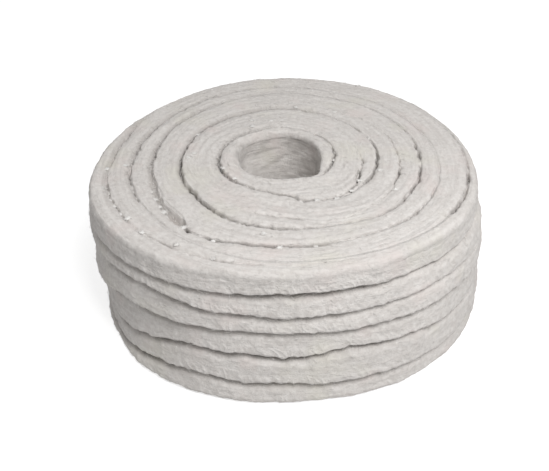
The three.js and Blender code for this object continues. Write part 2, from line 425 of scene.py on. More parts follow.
def noise(x, y, seed, cells_round=None):
    """Smooth seeded noise from -1 to 1. x and y count cells; x closes on itself where asked to."""
    table = np.random.default_rng(seed).uniform(-1, 1, (cells_round or NOISE_CELLS, NOISE_CELLS))
    columns, rows = table.shape
    column = np.floor(x).astype(int)
    row = np.floor(y).astype(int)
    across = eased(x - column)
    along = eased(y - row)

    def corner(right, up):
        return table[(column + right) % columns, (row + up) % rows]

    low = corner(0, 0) * (1 - across) + corner(1, 0) * across
    high = corner(0, 1) * (1 - across) + corner(1, 1) * across
    return low * (1 - along) + high * along


def wall_noise(parts, degrees, height, number=0, radius=TOP_RADIUS):
    """Noise of several sizes on a wall that goes round the roll."""
    total = 0.0
    for strength, cell, seed in parts:
        cells = max(3, round(2 * math.pi * radius / cell))
        total = total + strength * noise(degrees / 360 * cells, height / cell, seed + number, cells)
    return total


def flat_noise(parts, spot, number=0):
    """Noise of several sizes over the flat top or the underside."""
    return sum(strength * noise(spot[:, 0] / cell, spot[:, 1] / cell, seed + number)
               for strength, cell, seed in parts)


def wall_point(layer, degrees, inset):
    """Place in plan of a layer's outer wall, set in by a distance."""
    angle = np.radians(degrees)
    share = layer / TOP
    fall = (share - BELLY_AT) / (1 - BELLY_AT)
    oval = OUT_OF_ROUND * (np.sin(2 * angle) - np.sin(3 * angle))
    radius = TOP_RADIUS + BELLY * (1 - fall * fall) + oval - inset
    radius = radius - around(SET_BACK_AT, SET_BACK[layer], degrees)
    x = MIDDLE[0] - TOP_LEAN * share * share + radius * np.cos(angle)
    return x, MIDDLE[1] + radius * np.sin(angle)


def bore_point(degrees, inset):
    """Place in plan of the bore's wall, set back from it by a distance."""
    angle = np.radians(degrees)
    corner = np.exp(-(degrees_from(BORE_CORNER_AT, degrees) / BORE_CORNER_SPREAD) ** 2)
    radius = BORE_RADIUS - (BORE_SQUEEZE - BORE_CORNER * corner) + inset
    x = MIDDLE[0] - TOP_LEAN - BORE_OFFSET + radius * np.cos(angle)
    return x, MIDDLE[1] + radius * np.sin(angle)


def bore_mouth(degrees, height=MOUTH_FULL):
    """How far the bore is wider than plain at a height: soft turns give way at its upper end."""
    rise = clamp((height - MOUTH_FROM) / (MOUTH_FULL - MOUTH_FROM))
    uneven = wall_noise(MOUTH_UNEVEN, degrees, 0.0, radius=BORE_RADIUS)
    uneven = uneven * (0.5 + 0.5 * np.cos(np.radians(degrees - MOUTH_UNEVEN_AT)))
    return (around(MOUTH_AT, MOUTH, degrees) + uneven) * eased(rise)


def layer_seam(index, degrees):
    """Height and openness of the seam under a layer. The floor and the top face count as shut seams."""
    if index in (0, LAYERS):
        return np.full_like(degrees, index * ROPE_HEIGHT), np.zeros_like(degrees)
    knots = np.array(LAYER_SEAMS[index - 1])
    height = around(knots[:, 0], knots[:, 1], degrees)
    openness = around(knots[:, 0], knots[:, 2], degrees)
    crumble = wall_noise(SEAM_CRUMBLE, degrees, 0.0, index)
    broken = wall_noise(SEAM_BREAKS, degrees, 0.0, index) * np.clip(2 * openness, 0.15, 1)
    return height + crumble * (0.4 + openness), np.clip(openness + broken, 0.05, 1.15)


def braid_relief(along, across, warp):
    """Slanting strands of the braid: rounded ridges that wander."""
    phase = along / STRAND_PITCH + across / STRAND_SLANT + warp
    return np.sqrt(np.abs(np.sin(math.pi * phase))) - 0.75


def build_mesh(name, points, quads, triangles=()):
    """A smooth mesh from points in mm and from faces with four and with three corners."""
    made = bpy.data.meshes.new(name)
    made.vertices.add(len(points))
    made.vertices.foreach_set("co", (points * MM).astype(np.float32).ravel())
    corners = np.concatenate([np.ravel(quads), np.ravel(triangles)]).astype(np.int32)
    sizes = np.repeat([4, 3], [len(quads), len(triangles)]).astype(np.int32)
    made.loops.add(len(corners))
    made.loops.foreach_set("vertex_index", corners)
    made.polygons.add(len(sizes))
    made.polygons.foreach_set("loop_start", (np.cumsum(sizes) - sizes).astype(np.int32))
    made.polygons.foreach_set("loop_total", sizes)
    made.update(calc_edges=True)
    made.polygons.foreach_set("use_smooth", np.ones(len(sizes), bool))
    return made


class Ring:
    """A closed ring of vertices: rows round its section, columns round the roll."""

    def __init__(self, columns):
        self.degrees = degrees_round(columns)
        self.rows = []
        self.shade = []
        self.turn_edge = []
        self.along = []
        self.across = []
        self.weight = []

    def add(self, x, y, z, shade, along, across, weight, turn_edge=0.0):
        """Adds a row, with its place on the rope and its room in the bake's map."""
        blank = np.zeros_like(self.degrees)
        self.rows.append(np.stack([x + blank, y + blank, z + blank], 1))
        self.shade.append(shade + blank)
        self.turn_edge.append(turn_edge + blank)
        self.along.append(along + blank)
        self.across.append(across + blank)
        self.weight.append(weight)

    def mesh(self, name):
        points = np.array(self.rows)
        rows, columns = points.shape[:2]
        index = np.arange(rows * columns).reshape(rows, columns)
        after = np.roll(index, -1, 0)
        corners = [index, np.roll(index, -1, 1), np.roll(after, -1, 1), after]
        made = build_mesh(name, points.reshape(-1, 3), np.stack(corners, -1).reshape(-1, 4))
        for attribute, values in (("seam_shade", self.shade), ("turn_edge", self.turn_edge)):
            kept = made.attributes.new(attribute, "FLOAT", "POINT")
            kept.data.foreach_set("value", np.array(values, np.float32).ravel())
        made.uv_layers.new(name="OFBake").data.foreach_set("uv", self.bake_map(rows, columns))
        made.uv_layers.new(name="rope").data.foreach_set("uv", self.rope_map(rows, columns))
        return made

    def bake_map(self, rows, columns):
        """The bake's map: a rectangle with little room for hidden faces."""
        steps = np.cumsum([0.0] + self.weight)
        v = steps / steps[-1]
        column = np.arange(columns)
        bake = np.empty((rows, columns, 4, 2), np.float32)
        bake[..., 0] = np.stack([column, column + 1, column + 1, column], -1) / columns
        bake[..., 1] = np.stack([v[:-1], v[:-1], v[1:], v[1:]], -1)[:, None]
        return bake.ravel()

    def rope_map(self, rows, columns):
        """The rope's own map in metres, which runs on over the last column instead of jumping back."""
        along = np.array(self.along)
        across = np.array(self.across)
        rope = np.empty((rows, columns, 4, 2), np.float32)
        for corner, shift in enumerate(((0, 0), (0, -1), (-1, -1), (-1, 0))):
            rope[:, :, corner, 0] = np.roll(along, shift, (0, 1)) * MM
            rope[:, :, corner, 1] = np.roll(across, shift, (0, 1)) * MM
        beyond = along[:, -1] + (along[:, -1] - along[:, -2])
        rope[:, -1, 1, 0] = beyond * MM
        rope[:, -1, 2, 0] = np.roll(beyond, -1) * MM
        return rope.ravel()


def at_the_wrap(degrees):
    """1 where the rope's map jumps back by one turn, and 0 a few degrees away from there."""
    return clamp(1.4 - np.abs(degrees_from(WRAP_AT, degrees)) / WRAP_FADE)


def gap_reach(openness):
    """How far below a seam its dark gap reaches: wide where a layer has sagged."""
    return 0.55 + 1.7 * np.clip(openness - 0.55, 0, 0.5)


def wall_overhang(layer, degrees):
    """How far the layer above stands out over this one."""
    if layer == TOP:
        return np.zeros_like(degrees)
    above = np.hypot(*wall_point(layer + 1, degrees, 0.0))
    here = np.hypot(*wall_point(layer, degrees, 0.0))
    return np.clip(above - here, 0, 4)


def wall_shade(layer, up, shown, low_open, high_open):
    """Painted shade on a band: in the gaps at its seams, and a painted shadow under the layer above."""
    gap = clamp(1 - up / 0.7) * low_open
    gap = gap + clamp(1.15 - shown / (0.35 + gap_reach(high_open))) * high_open
    if layer == TOP:
        return gap
    overhang_shade = PAINTED_OVERHANG_SHADE * np.exp(-(shown / PAINTED_OVERHANG_REACH) ** 2) * np.clip(0.5 + high_open, 0, 1.2)
    return np.maximum(gap, overhang_shade)


def wall_relief(layer, degrees, z, up):
    """The strands and the grain of a band, in mm outward."""
    turns = round(2 * math.pi * TOP_RADIUS / STRAND_PITCH) * STRAND_PITCH
    strands = braid_relief(degrees / 360 * turns, z, wall_noise(BAND_WARP, degrees, z, layer))
    near_lip = np.exp(-((up - LIP_STRANDS_AT) / LIP_STRANDS_REACH) ** 2)
    matted = 0.5 + wall_noise(BAND_MATTING, degrees, z, layer)
    strands = (STRAND_HEIGHT + LIP_STRAND_HEIGHT * near_lip) * matted * strands
    return strands + wall_noise(BAND_GRAIN, degrees, z, layer)


def wall_inset(layer, degrees, z, up, down, low_open, high_open):
    """How far a band lies in from its plain wall, up from one seam and down from the next."""
    rise = up / (up + down + 1e-9)
    if layer == 0:
        lower = FOOT_INSET * edge(up, FOOT_REACH)
    else:
        lower = (SHUT_LIP + OPEN_LIP * low_open) * edge(up, LOWER_LIP_REACH)
    if layer == TOP:
        upper = 0.0
        slope = rise - 0.5 * rise * rise
    else:
        upper = (SHUT_LIP + OPEN_LIP * high_open) * edge(down, UPPER_LIP_REACH)
        slope = rise
    lower = lower * (1 + wall_noise(RAGGED_LIP, degrees, z, layer))
    crack = CRACK_DEPTH * low_open * edge(up, LOWER_CRACK_REACH)
    wide = (CRACK_DEPTH + WIDE_CRACK_DEPTH * high_open) * high_open
    crack = crack + wide * edge(down, gap_reach(high_open))
    lean = BAND_LEAN * (slope - BAND_LEAN_FROM)
    swell = wall_noise(BAND_SWELL, degrees, z, layer)
    quiet = 1 - clamp(edge(up, QUIET_REACH) + edge(down, QUIET_REACH))
    return lower + upper + crack + lean + swell - wall_relief(layer, degrees, z, up) * quiet


def wall_rows(ring, layer, top_share=1.0):
    """The band of a layer's outer wall, from the seam under it up to the seam above it."""
    degrees = ring.degrees
    low, low_open = layer_seam(layer, degrees)
    high, high_open = layer_seam(layer + 1, degrees)
    # The painted shade starts lower on a band where the layer above stands out over it
    hidden = OVERHANG_HIDES * wall_overhang(layer, degrees)
    for step in range(WALL_ROWS + 1):
        share = (0.5 - 0.5 * math.cos(math.pi * step / WALL_ROWS)) * top_share
        z = low + (high - low) * share
        up = np.clip(share * (high - low), 0, None)
        down = np.clip((1 - share) * (high - low), 0, None)
        inset = wall_inset(layer, degrees, z, up, down, low_open, high_open)
        x, y = wall_point(layer, degrees, inset)
        shade = wall_shade(layer, up, np.clip(down - hidden, 0, None), low_open, high_open)
        ring.add(x, y, z, shade, along=np.radians(degrees) * TOP_RADIUS, across=up, weight=WALL_WEIGHT,
                 turn_edge=at_the_wrap(degrees))


def bore_rows(ring, layer, top_height=ROLL_HEIGHT):
    """The band of the bore's wall that belongs to a layer, from its top down to its bottom."""
    degrees = ring.degrees
    low = layer * ROPE_HEIGHT
    high = np.minimum((layer + 1) * ROPE_HEIGHT, top_height)
    for share in BORE_SHARES:
        z = low + (high - low) * share
        twisted = degrees + BORE_TWIST * z
        bulge = wall_noise(BORE_BULGE, twisted, z, radius=BORE_RADIUS)
        bulge = bulge * clamp((top_height - z) / BORE_PLAIN_REACH)
        x, y = bore_point(degrees, bulge + bore_mouth(degrees, z))
        # Mottled painted shade inside the bore
        mottled_shade = BORE_SHADE_LEVEL + wall_noise(BORE_SHADE_MOTTLE, twisted, z, radius=BORE_RADIUS)
        ring.add(x, y, z, BORE_PAINTED_SHADE * clamp(mottled_shade), along=np.radians(degrees) * BORE_RADIUS,
                 across=z, weight=BORE_WEIGHT)


def plain_layer(layer, columns=MIDDLE_COLUMNS):
    """A layer with its wall, its bore, and flat hidden faces between them."""
    ring = Ring(columns)
    wall_rows(ring, layer)
    ring.weight[-1] = HIDDEN_WEIGHT
    bore_rows(ring, layer)
    ring.weight[-1] = HIDDEN_WEIGHT
    return ring


def bottom_layer():
    """The layer that stands on the floor; its spiral of turns shows underneath."""
    ring = plain_layer(0, BOTTOM_COLUMNS)
    ring.weight[-1] = BORE_WEIGHT
    degrees = ring.degrees
    outer = ring.rows[0][:, :2]
    inner = ring.rows[-1][:, :2]
    length = np.linalg.norm(outer - inner, axis=1)
    for row in range(1, UNDER_ROWS):
        share = row / UNDER_ROWS
        spot = inner + (outer - inner) * share
        turn = share * TURNS + (degrees - UNDER_START) / 360
        away = np.abs(turn - np.round(turn)) * TURN_WIDTH
        away = np.abs(away + flat_noise(UNDER_WANDER, spot))
        groove = UNDER_GROOVE * edge(away, UNDER_GROOVE_REACH) * clamp(8 * share * (1 - share))
        # Painted shade in the grooves between the turns underneath
        shade = UNDER_SHADE * edge(away, UNDER_SHADE_REACH)
        along = np.radians(degrees) * (BORE_RADIUS + share * length)
        ring.add(spot[:, 0], spot[:, 1], groove, shade, along, share * length, weight=UNDER_WEIGHT)
    return ring


# One pass of a seam over the top, with a value for every direction
SeamPass = namedtuple("SeamPass", "main place inside share slope open step")


def seam_passes(seams, degrees, main=False):
    """Each pass of each seam over the top. Only the main seam parts the rope's turns."""
    passes = []
    for knots in seams:
        table = np.array(knots, float)
        for turn in range(-2, 6):
            place = degrees + 360 * turn
            inside = (place >= table[0, 0]) & (place <= table[-1, 0])
            if not inside.any():
                continue
            share = smooth_seam(table, 1, place)
            ahead = smooth_seam(table, 1, place + 0.5)
            openness = np.interp(place, table[:, 0], table[:, 2], left=0, right=0)
            step = np.interp(place, *np.array(TURN_STEPS).T) if main else np.zeros_like(place)
            passes.append(SeamPass(main, place, inside, share, (ahead - share) / math.radians(0.5),
                                   openness * inside, step * inside))
    return passes


class TopPlan:
    """The top in every direction, from the plain outer wall to the mouth of the bore."""

    def __init__(self, degrees):
        self.outer = np.stack(wall_point(TOP, degrees, 0.0), 1)
        self.inner = np.stack(bore_point(degrees, 0.0), 1)
        self.length = np.linalg.norm(self.outer - self.inner, axis=1)
        self.radial = (self.outer - self.inner) / self.length[:, None]
        self.flare = BORE_EDGE_RADIUS + BORE_FLARE * (0.5 + 0.5 * np.cos(np.radians(degrees - FLARE_AT)))
        self.flat = self.length - bore_mouth(degrees) - SHOULDER_RADIUS - self.flare
        self.whole = SHOULDER_BEND + self.flat + self.flare * math.pi / 2

    def section(self, path):
        """A place on the shoulder, the flat or the bore's edge: inset, drop and facing direction."""
        first = clamp(path / SHOULDER_BEND) * math.pi / 2
        last = clamp((path - SHOULDER_BEND - self.flat) / (self.flare * math.pi / 2)) * math.pi / 2
        inset = SHOULDER_RADIUS * (1 - np.cos(first)) + np.clip(path - SHOULDER_BEND, 0, self.flat)
        inset = inset + self.flare * np.sin(last)
        drop = SHOULDER_RADIUS * (1 - np.sin(first)) + self.flare * (1 - np.cos(last))
        return inset, drop, np.cos(first) - np.sin(last), np.sin(first) * np.cos(last)

    def paths(self, passes):
        """Rows over the top, set close together at the seams and evened out between directions."""
        fraction = np.linspace(0, 1, PATH_SAMPLES)
        inset, *_ = self.section(fraction[:, None] * self.whole)
        density = np.full_like(inset, 1 / COARSE_SPACING)
        for seam in passes:
            distance = inset - (1 - seam.share) * self.length
            fine = np.exp(-(np.abs(distance) / FINE_REACH) ** 3)
            presence = clamp(seam.open * 2 + 0.75) * seam.inside
            density = np.maximum(density, presence * fine / FINE_SPACING)
        total = np.cumsum(density, 0)
        total = (total - total[0]) / (total[-1] - total[0])
        wanted = (np.arange(TOP_ROWS) + 0.5) / TOP_ROWS
        rows = np.stack([np.interp(wanted, one, fraction) for one in total.T], 1)
        for _ in range(3):
            rows = (np.roll(rows, 1, 1) + 2 * rows + np.roll(rows, -1, 1)) / 4
        return rows * self.whole


def halo_strength(degrees):
    """The turns' edges are rounded and carry painted shade at the left and back, away from the lamp, and
    are pressed flat at the right front.
    """
    return 0.1 + 0.9 * clamp(0.35 + 0.9 * np.cos(np.radians(degrees - HALO_DIRECTION)))


def seam_section(seam, distance, spot, degrees, number):
    """Depth and painted shade of one seam at a distance outward from it."""
    opened = seam.open + flat_noise(TURN_BREAKS, spot, number) * clamp(seam.open * 2)
    opened = np.clip(opened, 0, 1.15)
    reach = TURN_CRACK_REACH + OPEN_CRACK_REACH * opened
    depth = TURN_CRACK_DEPTH * opened * clamp(1 - np.abs(distance) / reach) ** 0.8
    valley = (VALLEY_DEPTH + OPEN_VALLEY_DEPTH * opened) * clamp(seam.open * 2.5)
    depth = depth + valley * np.exp(-(distance / VALLEY_REACH) ** 2)
    # Painted shade in the crack, and beside it a strip of painted shade that is stronger away from the lamp
    shade = opened * clamp(1 - np.abs(distance) / (reach + CRACK_SHADE_MARGIN))
    halo_width = np.where(distance > HALO_AT, HALO_OUTWARD, HALO_INWARD)
    halo = np.exp(-((distance - HALO_AT) / halo_width) ** 2)
    halo = halo * halo_strength(degrees) * clamp(2.4 * seam.open)
    step = 0.5 * seam.step * np.tanh(distance / STEP_WIDTH) * np.exp(-np.abs(distance) / STEP_REACH)
    return depth + HALO_DEPTH * halo + step, np.maximum(shade, HALO_SHADE * halo)


def pocket_depth(degrees, share, length, spot):
    """Depth of the open pocket beside the squeezed turn."""
    table = np.array(POCKET)
    place = degrees % 360
    depth = np.interp(place, table[:, 0], table[:, 2], left=0, right=0)
    half_width = np.interp(place, table[:, 0], table[:, 3])
    distance = np.abs(share - smooth_seam(table, 1, place)) * length + flat_noise(POCKET_RAGGED, spot)
    return POCKET_DEPTH * depth * clamp(POCKET_STEEPNESS * (1 - distance / half_width))


def turn_place(passes, share, length, degrees):
    """Degrees along the spiral, the share of the way where the turn begins, and 0 on a seam to 1 off it."""
    wound = SPIRAL_START - (SPIRAL_START - degrees) % 360
    begin = np.zeros_like(degrees)
    calm = np.ones_like(degrees)
    for seam in passes:
        if seam.main:
            past = seam.inside & (share > seam.share)
            wound = np.where(past, np.maximum(wound, seam.place), wound)
            begin = np.where(past, np.maximum(begin, seam.share), begin)
            calm = np.minimum(calm, np.abs(share - seam.share) * length / CALM_REACH)
    return wound, begin, calm


def rope_length(degrees):
    """Length of rope from the bore out to a place along the spiral."""
    angle = np.radians(degrees - SPIRAL_START)
    return BORE_RADIUS * angle + TURN_WIDTH * angle * angle / (4 * math.pi)


def top_relief(spot, along, across, calm):
    """Swelling, grain, strands and streaks of the turns on top, in mm upward."""
    matted = 0.5 + flat_noise(TOP_MATTING, spot)
    strands = TOP_STRAND_HEIGHT * matted * braid_relief(along, across, flat_noise(TOP_WARP, spot))
    streaks = sum(strength * noise(along / long, across / wide, seed)
                  for strength, long, wide, seed in TOP_STREAKS)
    plain = flat_noise(TOP_SWELL, spot) + flat_noise(TOP_GRAIN, spot)
    return plain + calm * (strands + streaks * (0.4 + 0.6 * matted))


def top_row(ring, plan, path, passes, folds, last_wall):
    """One row of the top: the plain section, pushed in at the seams and raised by the braid."""
    degrees = ring.degrees
    inset, drop, outward, upward = plan.section(path)
    share = 1 - inset / plan.length
    spot = plan.inner + (plan.outer - plan.inner) * share[:, None]
    radius = np.linalg.norm(spot - np.array(MIDDLE), axis=1)
    hollow = pocket_depth(degrees, share, plan.length, spot)
    depth = hollow
    # Painted shade on the pocket's floor, darker where the pocket is deeper
    shade = POCKET_SHADE * hollow / POCKET_DEPTH
    for number, seam in enumerate(passes):
        distance = (share - seam.share) * plan.length
        distance = distance / np.sqrt(1 + (seam.slope * plan.length / radius) ** 2)
        distance = distance + flat_noise(TURN_WANDER, spot, number)
        seam_depth, seam_shade = seam_section(seam, distance, spot, degrees, number)
        depth = depth + seam_depth
        shade = np.maximum(shade, seam_shade)
    for fold in folds:
        distance = (share - fold.share) * plan.length
        depth = depth + FOLD_DEPTH * fold.open * np.exp(-(distance / FOLD_HALF_WIDTH) ** 2)
    wound, begin, calm = turn_place(passes, share, plan.length, degrees)
    along = rope_length(wound)
    across = (share - begin) * plan.length
    on_shoulder = clamp(1 - path / SHOULDER_BEND)
    in_mouth = clamp(1 - (plan.whole - path) / plan.flare)
    relief = top_relief(spot, along, across, calm) * (1 - np.clip(shade * 1.5, 0, 0.8))
    push = (relief - depth) * (1 - on_shoulder)
    sideways = outward * push - on_shoulder * last_wall
    x, y = (spot + plan.radial * sideways[:, None]).T
    ring.add(x, y, ROLL_HEIGHT - drop + upward * push, shade, along, across + TOP_SMOOTH, weight=TOP_WEIGHT,
             turn_edge=np.maximum(1 - calm, np.maximum(on_shoulder, in_mouth)))


def top_layer():
    """The layer that carries the turns: wall, shoulder, spiral face, the bore's edge and its wall."""
    ring = Ring(TOP_COLUMNS)
    degrees = ring.degrees
    plan = TopPlan(degrees)
    low, _ = layer_seam(TOP, degrees)
    wall_rows(ring, TOP, top_share=(ROLL_HEIGHT - SHOULDER_RADIUS - low) / (ROLL_HEIGHT - low))
    ring.turn_edge[-1] = np.ones_like(degrees)
    angle = np.radians(degrees)
    set_in = plan.outer - ring.rows[-1][:, :2]
    last_wall = set_in[:, 0] * np.cos(angle) + set_in[:, 1] * np.sin(angle)
    passes = seam_passes([SPIRAL_SEAM], degrees, main=True) + seam_passes(SHORT_SEAMS, degrees)
    folds = seam_passes(FOLDS, degrees)
    for path in plan.paths(passes):
        top_row(ring, plan, path, passes, folds, last_wall)
    ring.weight[-1] = LAST_TOP_WEIGHT
    first_bore_row = len(ring.rows)
    bore_rows(ring, TOP, top_height=ROLL_HEIGHT - plan.flare)
    ring.turn_edge[first_bore_row] = np.ones_like(degrees)
    ring.weight[-1] = HIDDEN_WEIGHT
    return ring


# Vertices that fibres may grow from, with the ways the surface faces and runs, and the seams' shade
Samples = namedtuple("Samples", "points facing along shade")


def surface_samples(rings):
    """The vertices of the rings that can be seen, apart from the floor's and the bore's."""
    found = []
    for ring in rings:
        grid = np.array(ring.rows)
        along = np.roll(grid, -1, 1) - np.roll(grid, 1, 1)
        facing = np.cross(along, np.roll(grid, -1, 0) - np.roll(grid, 1, 0))
        keep = grid[..., 2] > LOWEST_ROOT
        keep[0] = False
        keep[-len(BORE_SHARES) - 1:] = False
        found.append((grid[keep], unit(facing)[keep], unit(along)[keep], np.array(ring.shade)[keep]))
    return Samples(*(np.concatenate(part) for part in zip(*found)))


def tufts(name, roots, ways, lifts, lengths, radii, seed):
    """Loose fibres as one mesh: tapered three-sided hairs, each rooted on the surface."""
    rng = np.random.default_rng(seed)
    count = len(roots)
    sides = unit(np.cross(ways, lifts))
    curl = rng.normal(0, FIBRE_CURL, (count, 2))
    points = np.empty((count, FIBRE_STATIONS, FIBRE_SIDES, 3))
    for station in range(FIBRE_STATIONS):
        t = station / (FIBRE_STATIONS - 1)
        arch = lengths * 0.5 * t * (1 - 0.5 * t) * FIBRE_ARCH * (1 + curl[:, 0])
        centre = roots + ways * (lengths * t)[:, None] + lifts * arch[:, None]
        centre = centre + sides * (lengths * t * t * curl[:, 1])[:, None]
        thick = radii * (1 - FIBRE_TAPER * t)
        for corner in range(FIBRE_SIDES):
            turn = 2 * math.pi * corner / FIBRE_SIDES
            outward = sides * math.cos(turn) + lifts * math.sin(turn)
            points[:, station, corner] = centre + outward * thick[:, None]
    points[..., 2] = np.maximum(points[..., 2], LOWEST_FIBRE)
    per_hair = FIBRE_STATIONS * FIBRE_SIDES
    first = np.arange(count)[:, None, None] * per_hair
    quads = []
    for low in range(0, per_hair - FIBRE_SIDES, FIBRE_SIDES):
        for corner in range(FIBRE_SIDES):
            right = low + (corner + 1) % FIBRE_SIDES
            quads.append((low + corner, right, right + FIBRE_SIDES, low + corner + FIBRE_SIDES))
    tip = per_hair - FIBRE_SIDES
    ends = np.array([(0, 2, 1), (tip, tip + 1, tip + 2)])
    return build_mesh(name, points.reshape(-1, 3), (first + np.array(quads)).reshape(-1, 4),
                      (first + ends).reshape(-1, 3))


def lying_fibres(name, samples, weights, kind):
    """Fibres that lie along the surface, scattered by the weights of its vertices."""
    rng = np.random.default_rng(kind.seed)
    total = np.cumsum(weights)
    chosen = np.searchsorted(total, rng.uniform(0, total[-1], kind.count))
    facing = samples.facing[chosen]
    along = samples.along[chosen]
    slant = rng.uniform(-kind.spread, kind.spread, kind.count)
    turn = np.radians(slant + 180 * rng.integers(0, 2, kind.count))
    ways = along * np.cos(turn)[:, None] + np.cross(facing, along) * np.sin(turn)[:, None]
    lengths = rng.uniform(*kind.lengths, kind.count)
    radii = rng.uniform(*kind.radii, kind.count)
    low, high = kind.lift
    lift = rng.uniform(low, high, (kind.count, 1)) if high > low else low
    roots = samples.points[chosen] + facing * lift - ways * (lengths * kind.behind)[:, None]
    return tufts(name, roots, ways, facing, lengths, radii, kind.seed + 1)


def lint_centres(points):
    """Where the tufts of lint sit: on the top, or just under it over an open seam."""
    near_top = points[points[:, 2] > ROLL_HEIGHT - LINT_SEARCH_DEPTH]
    centres = []
    for degrees, share, _ in LINT:
        outer = np.array(wall_point(TOP, degrees, 0.0))
        inner = np.array(bore_point(degrees, 0.0))
        spot = inner + (outer - inner) * share
        nearest = np.argmin(((near_top[:, :2] - spot) ** 2).sum(1))
        height = max(near_top[nearest, 2], ROLL_HEIGHT - LINT_SINK)
        centres.append((*spot, height + LINT_RISE))
    return np.array(centres)


def lint_tufts(samples):
    """Small tangles of white fibre that stick up at broken places of the seams on top."""
    rng = np.random.default_rng(LINT_SEED)
    chosen = np.repeat(np.arange(len(LINT)), LINT_PER_TUFT)
    size = np.array([size for _, _, size in LINT])[chosen]
    spread = rng.normal(0, LINT_SPREAD, (len(chosen), 2)) * size[:, None]
    roots = lint_centres(samples.points)[chosen]
    roots[:, :2] += spread
    turn = rng.uniform(0, 2 * math.pi, len(chosen))
    ways = np.stack([np.cos(turn), np.sin(turn), 0 * turn], 1)
    lifts = np.tile((0.0, 0.0, 1.0), (len(chosen), 1))
    lengths = rng.uniform(*LINT_LENGTHS, len(chosen)) * np.sqrt(size)
    radii = rng.uniform(*LINT_RADII, len(chosen))
    roots = roots - ways * lengths[:, None] * 0.4
    return tufts("lint_tufts", roots, ways, lifts, lengths, radii, LINT_SEED + 1)


class Nodes:
    """Short calls for the node tree of a material or a world."""

    def __init__(self, owner):
        owner.use_nodes = True
        self.tree = owner.node_tree
        self.tree.nodes.clear()

    def add(self, kind, inputs=None, **settings):
        """Adds a node, with its inputs set to constants or linked to other nodes' outputs."""
        node = self.tree.nodes.new(kind)
        for key, value in settings.items():
            setattr(node, key, value)
        for key, value in (inputs or {}).items():
            if isinstance(value, (int, float, tuple)):
                node.inputs[key].default_value = value
            else:
                self.tree.links.new(value, node.inputs[key])
        return node

    def noise(self, where, scale, detail=2.0, roughness=0.5):
        inputs = {"Vector": where, "Scale": scale, "Detail": detail, "Roughness": roughness}
        return self.add("ShaderNodeTexNoise", inputs).outputs["Fac"]

    def mapped(self, where, scale, turn=0.0):
        """Coordinates that are stretched, and turned by an angle in degrees."""
        inputs = {"Vector": where, "Rotation": (0, 0, math.radians(turn)), "Scale": scale}
        return self.add("ShaderNodeMapping", inputs).outputs["Vector"]

    def spread(self, value, low, high, to_low=0.0, to_high=1.0):
        """A value taken from one range to another."""
        inputs = {"Value": value, "From Min": low, "From Max": high, "To Min": to_low, "To Max": to_high}
        return self.add("ShaderNodeMapRange", inputs).outputs["Result"]

    def mix(self, factor, first, second):
        return self.add("ShaderNodeMix", {0: factor, 6: first, 7: second}, data_type="RGBA").outputs[2]

    def math(self, operation, first, second=0.0):
        return self.add("ShaderNodeMath", {0: first, 1: second}, operation=operation).outputs[0]

    def multiply(self, first, second):
        return self.math("MULTIPLY", first, second)

    def sum(self, first, second):
        return self.math("ADD", first, second)


def braid_strands(n, rope, where):
    """The slanting strands of the braid, which show along a turn's lower edge and are matted above it."""
    along, across, _ = n.add("ShaderNodeSeparateXYZ", {0: rope}).outputs
    turns = n.sum(n.math("DIVIDE", along, STRAND_WIDTH), n.math("DIVIDE", across, STRAND_RISE))
    turns = n.sum(turns, n.multiply(n.noise(where, 130), 3.0))
    wave = n.math("SINE", n.multiply(turns, 2 * math.pi))
    near_edge = n.multiply(n.spread(across, 0.0004, 0.0016), n.spread(across, 0.0032, 0.0056, 1.0, 0.12))
    patchy = n.spread(n.noise(where, 170), 0.38, 0.6, 0.15, 1.0)
    return n.multiply(n.multiply(n.spread(wave, -0.3, 1.0), near_edge), patchy)


